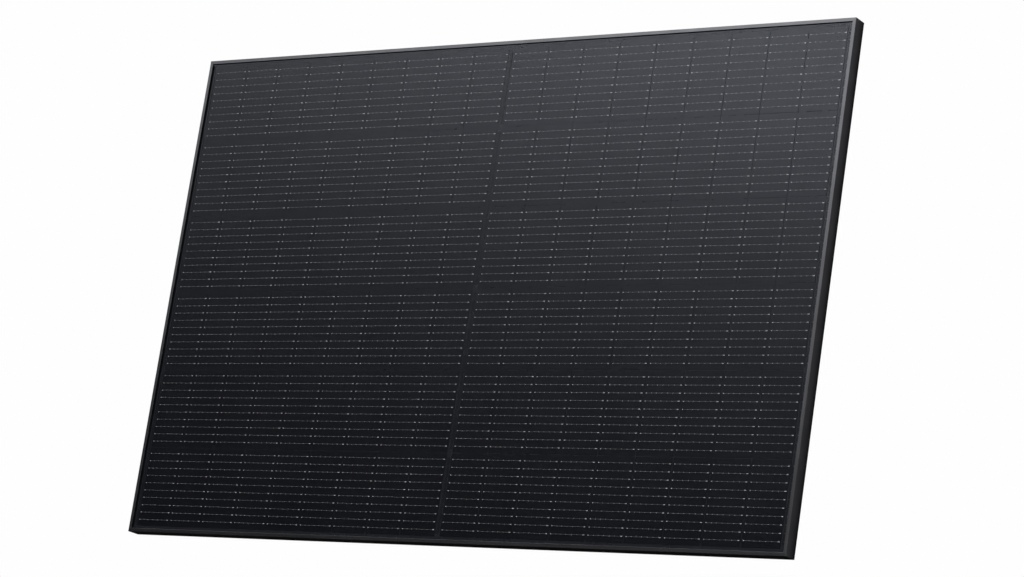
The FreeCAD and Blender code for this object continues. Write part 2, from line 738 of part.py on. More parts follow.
def build_frame():
    """Write the rails, keys and sealant."""
    for side in SIDES:
        write("frame_rail_" + side, [frame_rail(side)])
        write("edge_sealant_" + side, [edge_sealant(side)])
    for z_name, z_sign in (("bottom", -1), ("top", 1)):
        for x_name, x_sign in (("left", -1), ("right", 1)):
            write("corner_key_" + z_name + "_" + x_name, [corner_key(x_sign, z_sign)])


def build_laminate():
    """Write the sheets, cells, wires and ribbons."""
    write("front_glass", [front_glass()])
    write("front_encapsulant", [front_encapsulant()])
    write("rear_encapsulant", [rear_encapsulant()])
    write("backsheet", [backsheet()])
    write("centre_bus_ribbons", centre_bus_ribbons())
    write("left_bus_ribbons", end_bus_ribbons(-1))
    write("right_bus_ribbons", end_bus_ribbons(1))
    for side in ("left", "right"):
        for row in range(ROWS):
            label = side + "_" + str(row + 1)
            write("cell_string_" + label, cell_string(side, row))
            write("cell_wires_" + label, wire_set(side, row))


def build_boxes():
    """Write the junction boxes and what they hold."""
    names = ("upper", "middle", "lower")
    leads = [ribbon_lead(z) for z in lead_heights()]
    terminals = [plate for z in BOX_CENTRES for plate in terminal_pair(z)]
    diodes = [bypass_diode(z) for z in BOX_CENTRES]
    buried = leads + terminals + diodes
    gels = []
    for name, z in zip(names, BOX_CENTRES):
        base = box_base(z)
        write("junction_box_base_" + name, [base])
        write("junction_box_lid_" + name, [box_lid(z)])
        gels.append(potting(z, buried + terminal_posts(z)))
    glands = [z for z in BOX_CENTRES if z != 0]
    write("ribbon_leads", leads)
    write("junction_terminals", terminals)
    write("bypass_diodes", diodes)
    write("potting_gel", gels)
    write("box_adhesive", [adhesive_bead(z) for z in BOX_CENTRES])
    write("gland_seals", [gland_seal(z) for z in glands])
    write("gland_nuts", [gland_nut(z) for z in glands])


def main():
    """Write every node."""
    os.makedirs("parts", exist_ok=True)
    build_frame()
    build_laminate()
    build_boxes()
    write("rating_label", [rating_label()])


main()
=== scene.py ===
import math

import bmesh
import bpy
from mathutils import Matrix, Vector
from mathutils.geometry import tessellate_polygon


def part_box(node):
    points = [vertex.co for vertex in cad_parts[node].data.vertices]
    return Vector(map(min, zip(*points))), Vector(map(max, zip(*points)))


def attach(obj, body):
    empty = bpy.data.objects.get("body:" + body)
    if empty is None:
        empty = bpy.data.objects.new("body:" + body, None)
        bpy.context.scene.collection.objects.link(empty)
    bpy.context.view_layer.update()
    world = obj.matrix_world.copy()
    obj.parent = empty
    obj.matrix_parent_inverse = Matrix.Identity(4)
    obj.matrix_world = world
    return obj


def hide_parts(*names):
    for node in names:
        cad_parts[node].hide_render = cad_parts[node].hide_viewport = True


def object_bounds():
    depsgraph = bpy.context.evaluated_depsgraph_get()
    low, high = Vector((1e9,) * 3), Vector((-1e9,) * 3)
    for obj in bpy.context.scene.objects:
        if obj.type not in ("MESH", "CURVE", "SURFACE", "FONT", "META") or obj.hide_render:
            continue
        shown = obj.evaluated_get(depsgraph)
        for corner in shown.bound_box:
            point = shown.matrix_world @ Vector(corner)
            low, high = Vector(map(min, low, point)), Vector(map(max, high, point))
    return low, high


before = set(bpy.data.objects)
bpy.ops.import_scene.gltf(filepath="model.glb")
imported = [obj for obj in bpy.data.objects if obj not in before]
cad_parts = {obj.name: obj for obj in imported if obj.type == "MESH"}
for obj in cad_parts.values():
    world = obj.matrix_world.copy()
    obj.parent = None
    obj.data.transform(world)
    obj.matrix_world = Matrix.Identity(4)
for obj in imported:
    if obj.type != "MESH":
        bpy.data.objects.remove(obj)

# Metres, in the row frame: X along the panel, Y out of its back, Z up. The glass faces -Y.

CAD_LOW, CAD_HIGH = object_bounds()
SIDES = ("left", "right")
ROWS = range(1, 7)
BOXES = ("upper", "middle", "lower")

# Camera: a long lens, low and to the right of the panel
CAMERA_PLACE = Vector((4.1171, -5.6338, -1.6731))
CAMERA_LOOK = Vector((-0.57185, 0.78954, 0.22276))
CAMERA_RIGHT = Vector((0.82034, 0.55241, 0.14796))
LENS = 115.76
SHIFT = (0.0208, 0.0392)
SENSOR = 36.0

# Studio light: each bank's direction in degrees (0 is in front of the glass, 90 is to its left;
# then its height), how tight it is and how bright; the key bank is capped at a limit
KEY_BANK = (13.1, 75.2, 24.7, 305000.0)
KEY_LIMIT = 3.3
DIM_BANKS = (
    (223.3, -6.0, 5.0, 0.34),
    (180.0, 52.0, 14.0, 9.0),
    (45.0, -32.0, 15.0, 0.6),
    (-20.0, -5.0, 15.0, 0.4),
    (264.0, 6.0, 10.0, 0.5),
)
AMBIENT = 0.02

FLOOR_HEIGHT = -2.0
FLOOR_HALF = 400.0

# Rail section, as in the CAD model but with smaller edge radii: distances inward from the outer
# face and back from the lip
LIP_WIDTH = 0.0077
LIP_THICKNESS = 0.0016
OUTER_WALL = 0.0013
LEDGE_INSET = 0.0095
LEDGE_DEPTH = 0.0069
LEDGE_THICKNESS = 0.0014
INNER_WALL = 0.0013
FLANGE_THICKNESS = 0.0015
EDGE_RADIUS = 0.0002
MITRE_GAP = 0.0001
SLOT_SIZE = (0.014, 0.009)
SLOT_INSET = 0.0215
SLOT_SPACINGS = (1.400, 0.990)
GROUND_HOLE_SIZE = (0.0042, 0.0042)
GROUND_HOLE_SPACING = 1.150
DRAIN_SIZE = (0.008, 0.0035)
DRAIN_INSET = 0.014
DRAIN_FROM_CORNER = 0.045

# Painted shade on a rail's walls: how much of the anodised colour is kept, from the lip (0) to the back (1)
WALL_PAINTED_SHADE = ((0.02, 1.0), (0.1, 0.84), (0.45, 0.70), (0.75, 0.46), (0.95, 0.22), (1.0, 0.10))

# Cells
CELLS_PER_STRING = 9
CELL_GAP = 0.002
CELL_PITCH = 0.093
BRIGHT_FROM = 0.0038
BRIGHT_TO = 0.0885
FINGER_PITCH = 0.0013
FINGER_SHARE = 0.04
WIRES = 10
WIRE_WIDTH = 0.0003

# Solder pads of one cell: places from its left edge, then widths and heights in millimetres
PAD_PLACES = (0.0049, 0.0175, 0.029, 0.0425, 0.0565, 0.070, 0.0861)
PAD_SIZES = ((2.5, 1.2), (1.6, 0.85), (1.6, 0.85), (1.6, 0.85), (1.6, 0.85), (1.6, 0.85), (4.6, 1.15))
PAD_THICKNESS = 0.00012
MM = 0.001

# Shine of what is seen through the glass
COATING_TINT = (0.83, 0.86, 1.0, 1)
CELL_SHINE = 0.5
FILM_SHINE = 0.46
RIBBON_SHINE = 0.39
METAL_COAT_ROUGHNESS = 0.13

# Pane: its arris, how far it stays short of the wires, and the reflectance it starts to mirror at
PANE_ARRIS = 0.0005
PANE_CLEARANCE = 0.00001
GLANCE_THRESHOLD = 0.1

# Strips that stand in for the shine of the pane's face beside the top and left lips: where each
# starts and stops, in from the lip
TOP_MARGIN = (0.0021, 0.0048)
LEFT_MARGIN = (0.0062, 0.0080)
MARGIN_GAP = 0.00002
MARGIN_THICKNESS = 0.00001
MARGIN_SHINE = 0.445

# Backsheet relief over the cells
RELIEF = 0.0001
RELIEF_RUN = 0.0008

# Easing of the junction boxes' edges
EASE_WIDTH = 0.0005


# Node helpers

def new_material(name):
    """A material with a bare Principled shader; returns it with its tree and shader."""
    material = bpy.data.materials.new(name)
    material.use_nodes = True
    tree = material.node_tree
    return material, tree, tree.nodes["Principled BSDF"]


def math_node(tree, operation, first, second=None):
    """A Math node fed by numbers or sockets."""
    node = tree.nodes.new("ShaderNodeMath")
    node.operation = operation
    for socket, value in zip(node.inputs, (first, second)):
        if value is None:
            continue
        if isinstance(value, bpy.types.NodeSocket):
            tree.links.new(value, socket)
        else:
            socket.default_value = value
    return node.outputs[0]


def object_place(tree, scale=(1, 1, 1)):
    """Object coordinates, stretched along each axis."""
    coords = tree.nodes.new("ShaderNodeTexCoord")
    mapping = tree.nodes.new("ShaderNodeMapping")
    mapping.inputs["Scale"].default_value = scale
    tree.links.new(coords.outputs["Object"], mapping.inputs["Vector"])
    return mapping.outputs["Vector"]


def noise(tree, vector, scale, detail=3.0):
    """Noise from 0 to 1."""
    node = tree.nodes.new("ShaderNodeTexNoise")
    node.inputs["Scale"].default_value = scale
    node.inputs["Detail"].default_value = detail
    tree.links.new(vector, node.inputs["Vector"])
    return node.outputs["Fac"]


def ramp(tree, value, stops):
    """A colour ramp through (position, colour) stops."""
    node = tree.nodes.new("ShaderNodeValToRGB")
    elements = node.color_ramp.elements
    while len(elements) < len(stops):
        elements.new(0.5)
    for element, (position, colour) in zip(elements, stops):
        element.position = position
        element.color = (*colour, 1)
    tree.links.new(value, node.inputs["Fac"])
    return node.outputs["Color"]


def mix_colours(tree, factor, first, second, blend="MIX"):
    """A colour between two, or one times the other."""
    node = tree.nodes.new("ShaderNodeMix")
    node.data_type = "RGBA"
    node.blend_type = blend
    sockets = {"Factor": factor, "A": first, "B": second}
    for socket in node.inputs:
        if not socket.enabled or socket.name not in sockets:
            continue
        value = sockets[socket.name]
        if isinstance(value, bpy.types.NodeSocket):
            tree.links.new(value, socket)
        else:
            socket.default_value = (*value, 1) if isinstance(value, tuple) else value
    return next(o for o in node.outputs if o.enabled)


def value_range(tree, value, low, high):
    """A 0 to 1 value spread between two numbers."""
    node = tree.nodes.new("ShaderNodeMapRange")
    node.inputs["To Min"].default_value = low
    node.inputs["To Max"].default_value = high
    tree.links.new(value, node.inputs["Value"])
    return node.outputs["Result"]


def bump(tree, shader, height, strength, distance):
    """Feed a height into a shader's normal."""
    node = tree.nodes.new("ShaderNodeBump")
    node.inputs["Strength"].default_value = strength
    node.inputs["Distance"].default_value = distance
    tree.links.new(height, node.inputs["Height"])
    tree.links.new(node.outputs["Normal"], shader.inputs["Normal"])


# Materials

def anodised(name, along, roughness):
    """Black anodised aluminium, drawn along one axis; its walls get painted shade that darkens them towards
    the back.
    """
    material, tree, shader = new_material(name)
    drawn = tuple(6 if axis == along else 900 for axis in "XYZ")
    lines = noise(tree, object_place(tree, drawn), 1.0)
    mottle = noise(tree, object_place(tree), 25.0)
    tone = math_node(tree, "MULTIPLY", lines, mottle)
    shade = ramp(tree, tone, [(0.1, (0.098, 0.099, 0.107)), (0.5, (0.136, 0.138, 0.149))])
    # Painted shade: faces that don't face front or back are darkened more and more from the lip towards the
    # back
    coords = tree.nodes.new("ShaderNodeTexCoord")
    split = tree.nodes.new("ShaderNodeSeparateXYZ")
    tree.links.new(coords.outputs["Object"], split.inputs["Vector"])
    depth = math_node(tree, "SUBTRACT", split.outputs["Y"], CAD_LOW.y)
    depth = math_node(tree, "DIVIDE", depth, CAD_HIGH.y - CAD_LOW.y)
    painted_wall_shade = ramp(tree, depth, [(position, (level,) * 3) for position, level in WALL_PAINTED_SHADE])
    facing = tree.nodes.new("ShaderNodeSeparateXYZ")
    tree.links.new(coords.outputs["Normal"], facing.inputs["Vector"])
    wall = math_node(tree, "LESS_THAN", math_node(tree, "ABSOLUTE", facing.outputs["Y"]), 0.8)
    dimmed = mix_colours(tree, 1.0, shade, painted_wall_shade, "MULTIPLY")
    tree.links.new(mix_colours(tree, wall, shade, dimmed), shader.inputs["Base Color"])
    tree.links.new(value_range(tree, lines, *roughness), shader.inputs["Roughness"])
    shader.inputs["Metallic"].default_value = 1.0
    shader.inputs["Specular Tint"].default_value = (0.35, 0.35, 0.35, 1)
    bump(tree, shader, lines, 0.15, 0.00002)
    return material


def clear_glass():
    """Anti-reflective pane face: it mirrors as far as its reflectance is over the threshold."""
    material, tree, shader = new_material("pane_face")
    tree.nodes.remove(shader)
    clear = tree.nodes.new("ShaderNodeBsdfTransparent")
    clear.inputs["Color"].default_value = (0.975, 0.985, 0.982, 1)
    gloss = tree.nodes.new("ShaderNodeBsdfGlossy")
    gloss.inputs["Color"].default_value = COATING_TINT
    patches = noise(tree, object_place(tree), 4.0)
    tree.links.new(value_range(tree, patches, 0.11, 0.14), gloss.inputs["Roughness"])
    ripple = tree.nodes.new("ShaderNodeBump")
    ripple.inputs["Strength"].default_value = 0.1
    ripple.inputs["Distance"].default_value = 0.0002
    tree.links.new(noise(tree, object_place(tree), 14.0, 1.0), ripple.inputs["Height"])
    tree.links.new(ripple.outputs["Normal"], gloss.inputs["Normal"])
    fresnel = tree.nodes.new("ShaderNodeFresnel")
    fresnel.inputs["IOR"].default_value = 1.5
    glance = tree.nodes.new("ShaderNodeMapRange")
    glance.inputs["From Min"].default_value = GLANCE_THRESHOLD
    tree.links.new(fresnel.outputs["Fac"], glance.inputs["Value"])
    inside = tree.nodes.new("ShaderNodeNewGeometry").outputs["Backfacing"]
    outside = math_node(tree, "SUBTRACT", 1.0, inside)
    mix = tree.nodes.new("ShaderNodeMixShader")
    tree.links.new(math_node(tree, "MULTIPLY", glance.outputs["Result"], outside), mix.inputs["Fac"])
    tree.links.new(clear.outputs["BSDF"], mix.inputs[1])
    tree.links.new(gloss.outputs["BSDF"], mix.inputs[2])
    tree.links.new(mix.outputs["Shader"], tree.nodes["Material Output"].inputs["Surface"])
    return material


def laminate_shine(shader, level):
    """The shine of the bonded glass, cells and film, which is slightly blue."""
    shader.inputs["Specular IOR Level"].default_value = level
    shader.inputs["Specular Tint"].default_value = COATING_TINT


def bonded_glass():
    """The pane's faces that are bonded to the encapsulant and don't reflect."""
    material, tree, shader = new_material("bonded_glass")
    tree.nodes.remove(shader)
    clear = tree.nodes.new("ShaderNodeBsdfTransparent")
    tint = noise(tree, object_place(tree), 3.0)
    shade = ramp(tree, tint, [(0.3, (0.985, 0.985, 0.985)), (0.7, (0.995, 0.995, 0.995))])
    tree.links.new(shade, clear.inputs["Color"])
    tree.links.new(clear.outputs["BSDF"], tree.nodes["Material Output"].inputs["Surface"])
    return material


def silicon():
    """Dark blue-black silicon: a slight tone per cell, cloudiness and fine printed fingers."""
    material, tree, shader = new_material("silicon_cell")
    island = tree.nodes.new("ShaderNodeNewGeometry").outputs["Random Per Island"]
    cloud = noise(tree, object_place(tree), 7.0)
    tone = math_node(tree, "ADD", math_node(tree, "MULTIPLY", island, 0.5), cloud)
    shade = ramp(tree, tone, [(0.3, (0.0020, 0.0022, 0.0037)), (1.0, (0.0030, 0.0033, 0.0051))])
    coords = tree.nodes.new("ShaderNodeTexCoord")
    split = tree.nodes.new("ShaderNodeSeparateXYZ")
    tree.links.new(coords.outputs["Object"], split.inputs["Vector"])
    phase = math_node(tree, "FRACT", math_node(tree, "DIVIDE", split.outputs["X"], FINGER_PITCH))
    finger = math_node(tree, "LESS_THAN", phase, FINGER_SHARE)
    colour = mix_colours(tree, finger, shade, (0.009, 0.0095, 0.011))
    tree.links.new(colour, shader.inputs["Base Color"])
    tree.links.new(value_range(tree, cloud, 0.12, 0.15), shader.inputs["Roughness"])
    laminate_shine(shader, CELL_SHINE)
    return material


def tinned(name, tone, string_start=None):
    """Tinned copper, a little uneven; on a string it is blackened between one cell and the next."""
    material, tree, shader = new_material(name)
    patches = noise(tree, object_place(tree, (160, 1, 90)), 1.0)
    shade = ramp(tree, patches, [(0.3, (0.75 * tone,) * 3), (0.7, (tone, tone, 1.02 * tone))])
    if string_start is not None:
        coords = tree.nodes.new("ShaderNodeTexCoord")
        split = tree.nodes.new("ShaderNodeSeparateXYZ")
        tree.links.new(coords.outputs["Object"], split.inputs["Vector"])
        along = math_node(tree, "SUBTRACT", split.outputs["X"], string_start)
        turn = math_node(tree, "FRACT", math_node(tree, "DIVIDE", along, CELL_PITCH))
        after = math_node(tree, "GREATER_THAN", turn, BRIGHT_FROM / CELL_PITCH)
        before = math_node(tree, "LESS_THAN", turn, BRIGHT_TO / CELL_PITCH)
        shade = mix_colours(tree, math_node(tree, "MULTIPLY", after, before), (0.006, 0.006, 0.007), shade)
    tree.links.new(shade, shader.inputs["Base Color"])
    tree.links.new(value_range(tree, patches, 0.36, 0.48), shader.inputs["Roughness"])
    shader.inputs["Metallic"].default_value = 0.5
    shader.inputs["Coat Weight"].default_value = 1.0
    shader.inputs["Coat Roughness"].default_value = METAL_COAT_ROUGHNESS
    shader.inputs["Specular IOR Level"].default_value = 0.0
    return material


def plain_metal(name, dark, light, roughness):
    """Bare metal with faint streaks."""
    material, tree, shader = new_material(name)
    streaks = noise(tree, object_place(tree, (40, 40, 400)), 1.0)
    tree.links.new(ramp(tree, streaks, [(0.3, dark), (0.7, light)]), shader.inputs["Base Color"])
    tree.links.new(value_range(tree, streaks, *roughness), shader.inputs["Roughness"])
    shader.inputs["Metallic"].default_value = 1.0
    bump(tree, shader, streaks, 0.2, 0.00002)
    return material


def moulded(name, dark, light, roughness, grain=2200.0):
    """Moulded or filled plastic with a fine grain."""
    material, tree, shader = new_material(name)
    fine = noise(tree, object_place(tree), grain)
    broad = noise(tree, object_place(tree), 18.0)
    shade = ramp(tree, broad, [(0.3, dark), (0.7, light)])
    tree.links.new(shade, shader.inputs["Base Color"])
    tree.links.new(value_range(tree, broad, *roughness), shader.inputs["Roughness"])
    bump(tree, shader, fine, 0.4, 0.00004)
    return material


def laminated(name, dark, light, shine):
    """A dark layer seen through the glass, almost as shiny as the cells."""
    material, tree, shader = new_material(name)
    cloud = noise(tree, object_place(tree), 30.0)
    tree.links.new(ramp(tree, cloud, [(0.3, dark), (0.7, light)]), shader.inputs["Base Color"])
    tree.links.new(value_range(tree, cloud, 0.13, 0.17), shader.inputs["Roughness"])
    laminate_shine(shader, shine)
    return material


# Geometry helpers

def piece_from(name, mesh_builder, materials, node_names=()):
    """Make a piece from a bmesh builder, ride it on the panel and stand it for CAD nodes."""
    mesh = bpy.data.meshes.new(name)
    body = bmesh.new()
    mesh_builder(body)
    body.to_mesh(mesh)
    body.free()
    for material in materials:
        mesh.materials.append(material)
    piece = bpy.data.objects.new(name, mesh)
    bpy.context.scene.collection.objects.link(piece)
    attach(piece, "root")
    if node_names:
        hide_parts(*node_names)
    return piece


def apply_modifiers(piece):
    """Bake a piece's modifiers into its mesh."""
    graph = bpy.context.evaluated_depsgraph_get()
    made = bpy.data.meshes.new_from_object(piece.evaluated_get(graph))
    piece.modifiers.clear()
    old = piece.data
    piece.data = made
    bpy.data.meshes.remove(old)


# Rails

def rounded_loop(points, steps=3):
    """A closed loop of 2D points, with an arc at each corner that has a radius."""
    loop = []
    for i, (x, y, radius) in enumerate(points):
        here = Vector((x, y))
        if radius == 0:
            loop.append(here)
            continue
        before = (Vector(points[i - 1][:2]) - here).normalized()
        after = (Vector(points[(i + 1) % len(points)][:2]) - here).normalized()
        start = here + before * radius
        centre = start + after * radius
        for k in range(steps + 1):
            turn = math.pi / 2 * k / steps
            loop.append(centre - after * radius * math.cos(turn) - before * radius * math.sin(turn))
    return loop


def rail_loops(depth, flange):
    """The outer outline and the chamber of a rail's section, as inset and depth."""
    r = EDGE_RADIUS
    back = depth - FLANGE_THICKNESS
    front = LEDGE_DEPTH + LEDGE_THICKNESS
    inner = LEDGE_INSET - INNER_WALL
    outer = [(0, 0, r), (LIP_WIDTH, 0, r), (LIP_WIDTH, LIP_THICKNESS, r)]
    outer += [(OUTER_WALL, LIP_THICKNESS, 0), (OUTER_WALL, LEDGE_DEPTH, 0)]
    outer += [(LEDGE_INSET, LEDGE_DEPTH, r), (LEDGE_INSET, back, r)]
    outer += [(flange, back, r), (flange, depth, r), (0, depth, r)]
    chamber = [(OUTER_WALL, front, r), (inner, front, r), (inner, back, r), (OUTER_WALL, back, r)]
    return rounded_loop(outer), rounded_loop(chamber)


def sweep_rail(body, length, loops):
    """Sweep a section along X with mitred ends; the section's inset is Z and its depth is Y."""
    rings = []
    for end in (-1, 1):
        ends = []
        for loop in loops:
            reach = length / 2 - MITRE_GAP
            ring = [body.verts.new((end * (reach - p.x), p.y, p.x)) for p in loop]
            ends.append(ring)
        rings.append(ends)
    for start, finish in zip(*rings):
        count = len(start)
        for i in range(count):
            k = (i + 1) % count
            body.faces.new((start[i], start[k], finish[k], finish[i]))
    for ends in rings:
        flat = [v for ring in ends for v in ring]
        shape = [[Vector((v.co.z, v.co.y, 0)) for v in ring] for ring in ends]
        for triangle in tessellate_polygon(shape):
            body.faces.new([flat[i] for i in triangle])
    bmesh.ops.recalc_face_normals(body, faces=body.faces)


def add_slot(body, x, z, size, depth):
    """A round-ended cutter through the flange."""
    steps = 16
    radius = size[1] / 2
    straight = (size[0] - size[1]) / 2
    loop = []
    for end in (1, -1):
        for k in range(steps + 1):
            turn = -math.pi / 2 + math.pi * k / steps
            loop.append((x + end * (straight + radius * math.cos(turn)), z + end * radius * math.sin(turn)))
    cut = 0.002
    near = [body.verts.new((a, depth - FLANGE_THICKNESS - cut, b)) for a, b in loop]
    far = [body.verts.new((a, depth + cut, b)) for a, b in loop]
    body.faces.new(near)
    body.faces.new(list(reversed(far)))
    for i in range(len(loop)):
        k = (i + 1) % len(loop)
        body.faces.new((near[i], far[i], far[k], near[k]))


def add_cutters(body, length, depth, long_side):
    """All the cutters of one rail's flange."""
    for end in (-1, 1):
        add_slot(body, end * (length / 2 - DRAIN_FROM_CORNER), DRAIN_INSET, DRAIN_SIZE, depth)
        if long_side:
            for spacing in SLOT_SPACINGS:
                add_slot(body, end * spacing / 2, SLOT_INSET, SLOT_SIZE, depth)
            add_slot(body, end * GROUND_HOLE_SPACING / 2, SLOT_INSET, GROUND_HOLE_SIZE, depth)
    bmesh.ops.remove_doubles(body, verts=body.verts, dist=1e-7)
    bmesh.ops.recalc_face_normals(body, faces=body.faces)


def make_rail(side, turn, material):
    """One extruded rail with a lip, a groove, a chamber and a slotted flange."""
    node = "frame_rail_" + side
    low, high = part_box(node)
    long_side = side in ("top", "bottom")
    length = high.x - low.x if long_side else high.z - low.z
    flange = high.z - low.z if long_side else high.x - low.x
    depth = high.y - low.y
    offset = CAD_HIGH.z if long_side else CAD_HIGH.x
    loops = rail_loops(depth, flange)
    rail = piece_from("rail_" + side, lambda body: sweep_rail(body, length, loops), [material])
    cutter = piece_from("cutter_" + side, lambda body: add_cutters(body, length, depth, long_side), [])
    cut = rail.modifiers.new("holes", "BOOLEAN")
    cut.object = cutter
    cut.solver = "EXACT"
    apply_modifiers(rail)
    bpy.data.objects.remove(cutter)
    place = Matrix.Rotation(math.radians(turn), 4, "Y") @ Matrix.Translation((0, low.y, -offset))
    rail.data.transform(place)
    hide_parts(node)


def make_frame():
    """The four rails."""
    lengthwise = anodised("anodised_long", "X", (0.15, 0.21))
    upright = anodised("anodised_short", "Z", (0.185, 0.26))
    make_rail("bottom", 0, lengthwise)
    make_rail("left", 90, upright)
    make_rail("top", 180, lengthwise)
    make_rail("right", -90, upright)


# Glass

def glass_body(body):
    """The clear block from the pane's face to just short of the wires, with arrissed edges."""
    low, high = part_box("front_glass")
    wires_low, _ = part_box("cell_wires_left_1")
    back = wires_low.y - PANE_CLEARANCE
    size = (high.x - low.x, back - low.y, high.z - low.z)
    centre = ((low.x + high.x) / 2, (low.y + back) / 2, (low.z + high.z) / 2)
    place = Matrix.Translation(centre) @ Matrix.Diagonal((*size, 1))
    bmesh.ops.create_cube(body, size=1.0, matrix=place)
    front = [e for e in body.edges if all(v.co.y < low.y + 1e-6 for v in e.verts)]
    bmesh.ops.bevel(body, geom=front, offset=PANE_ARRIS, segments=2, affect="EDGES")
    for face in body.faces:
        face.material_index = 0 if face.normal.y < -0.1 else 1


def margin_strips(body):
    """Thin strips just in front of the pane's face, along the top and left lips."""
    left = CAD_LOW.x + LIP_WIDTH
    right = CAD_HIGH.x - LIP_WIDTH
    bottom = CAD_LOW.z + LIP_WIDTH
    top = CAD_HIGH.z - LIP_WIDTH
    strips = [(left, right, top - TOP_MARGIN[1], top - TOP_MARGIN[0])]
    strips.append((left + LEFT_MARGIN[0], left + LEFT_MARGIN[1], bottom, top - TOP_MARGIN[1]))
    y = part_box("front_glass")[0].y - MARGIN_GAP - MARGIN_THICKNESS / 2
    for x0, x1, z0, z1 in strips:
        place = Matrix.Translation(((x0 + x1) / 2, y, (z0 + z1) / 2))
        size = Matrix.Diagonal((x1 - x0, MARGIN_THICKNESS, z1 - z0, 1))
        bmesh.ops.create_cube(body, size=1.0, matrix=place @ size)


def make_glass():
    """The pane with its clear sheets, and the strips of shine, which only the camera sees."""
    materials = [clear_glass(), bonded_glass()]
    nodes = ("front_glass", "front_encapsulant", "rear_encapsulant")
    pane = piece_from("glass_pane", glass_body, materials, nodes)
    shade = laminated("pane_margin", (0.0100, 0.0105, 0.0130), (0.0116, 0.0122, 0.0148), MARGIN_SHINE)
    margins = piece_from("pane_margins", margin_strips, [shade])
    margins.visible_glossy = False
    margins.visible_diffuse = False
    margins.visible_transmission = False
    margins.visible_shadow = False


# Backsheet

def backsheet_face(body):
    """The film, drawn in slightly behind the gaps between the cells."""
    low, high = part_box("backsheet")
    columns = grid_lines(low.x, high.x, [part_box(f"cell_string_{side}_1") for side in SIDES], 0)
    rows = grid_lines(low.z, high.z, [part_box(f"cell_string_left_{row}") for row in reversed(ROWS)], 2)
    back = []
    for x, x_raised in columns:
        line = []
        for z, z_raised in rows:
            y = high.y if x_raised and z_raised else high.y - RELIEF
            line.append(body.verts.new((x, y, z)))
        back.append(line)
    for i in range(len(columns) - 1):
        for k in range(len(rows) - 1):
            body.faces.new((back[i][k], back[i][k + 1], back[i + 1][k + 1], back[i + 1][k]))
    front = [body.verts.new((x, low.y, z)) for x, z in
             ((low.x, low.z), (high.x, low.z), (high.x, high.z), (low.x, high.z))]
    seen = body.faces.new(front)
    edges = [[line[0] for line in back], back[-1][:], [line[-1] for line in reversed(back)], back[0][::-1]]
    for i, edge in enumerate(edges):
        body.faces.new(edge + [front[(i + 1) % 4], front[i]])
    bmesh.ops.recalc_face_normals(body, faces=body.faces)
    for face in body.faces:
        face.material_index = 1
    seen.material_index = 0


def grid_lines(low, high, boxes, axis):
    """Places along one axis where the film starts or stops being raised by what is under it."""
    lines = [(low, False)]
    for box_low, box_high in boxes:
        if axis == 0:
            cells = [box_low.x + k * CELL_PITCH for k in range(CELLS_PER_STRING)]
            spans = [(start, start + CELL_PITCH - CELL_GAP) for start in cells]
        else:
            spans = [(box_low.z, box_high.z)]
        for start, stop in spans:
            lines += [(start - RELIEF_RUN, False), (start + RELIEF_RUN, True)]
            lines += [(stop - RELIEF_RUN, True), (stop + RELIEF_RUN, False)]
    lines.append((high, False))
    return lines


def make_backsheet():
    """The black film: its front shines as the cells do, and its outer face is grained plastic."""
    front = laminated("backsheet_front", (0.0106, 0.0111, 0.0138), (0.0124, 0.0130, 0.0158), FILM_SHINE)
    rear = moulded("backsheet_rear", (0.020, 0.020, 0.021), (0.028, 0.028, 0.030), (0.38, 0.50))
    film = piece_from("backsheet_film", backsheet_face, [front, rear], ["backsheet"])


# Solder pads

def add_pad(body, x, y, z, width, height):
    """One low, round-cornered pad that stands on a cell's face."""
    corner = 0.35
    rim = [(1, -1 + corner), (1, 1 - corner), (1 - corner, 1), (-1 + corner, 1)]
    rim += [(-1, 1 - corner), (-1, -1 + corner), (-1 + corner, -1), (1 - corner, -1)]
    top_scale = 0.8
    base = [body.verts.new((x + a * width / 2, y, z + b * height / 2)) for a, b in rim]
    top = [body.verts.new((x + a * width / 2 * top_scale, y - PAD_THICKNESS,
                           z + b * height / 2 * top_scale)) for a, b in rim]
    body.faces.new(top)
    body.faces.new(list(reversed(base)))
    for i in range(len(rim)):
        k = (i + 1) % len(rim)
        body.faces.new((base[i], base[k], top[k], top[i]))


def pads_for(side, row):
    """A builder for all the pads of one cell string."""
    cells_low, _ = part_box(f"cell_string_{side}_{row}")
    wires_low, wires_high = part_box(f"cell_wires_{side}_{row}")
    first = wires_low.z + WIRE_WIDTH / 2
    step = (wires_high.z - wires_low.z - WIRE_WIDTH) / (WIRES - 1)

    def build(body):
        for cell in range(CELLS_PER_STRING):
            for wire in range(WIRES):
                for place, (width, height) in zip(PAD_PLACES, PAD_SIZES):
                    x = cells_low.x + cell * CELL_PITCH + place
                    add_pad(body, x, cells_low.y, first + wire * step, width * MM, height * MM)
        bmesh.ops.recalc_face_normals(body, faces=body.faces)

    return build


def make_pads():
    """The solder pads of every string."""
    silver = tinned("solder_pad", 0.94)
    for side in SIDES:
        for row in ROWS:
            pads = piece_from(f"solder_pads_{side}_{row}", pads_for(side, row), [silver])


# Materials of the CAD nodes that stay

def paint(node, material):
    """Give a CAD node a material."""
    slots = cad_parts[node].data.materials
    slots.clear()
    slots.append(material)


def make_eased(node, material):
    """Stand a copy of a CAD node with its sharp edges eased in for the node."""
    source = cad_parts[node]
    piece = bpy.data.objects.new(node + "_eased", source.data.copy())
    bpy.context.scene.collection.objects.link(piece)
    piece.matrix_world = source.matrix_world
    piece.data.materials.clear()
    piece.data.materials.append(material)
    ease = piece.modifiers.new("ease", "BEVEL")
    ease.width = EASE_WIDTH
    ease.segments = 2
    ease.limit_method = "ANGLE"
    ease.angle_limit = math.radians(40)
    apply_modifiers(piece)
    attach(piece, "root")
    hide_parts(node)


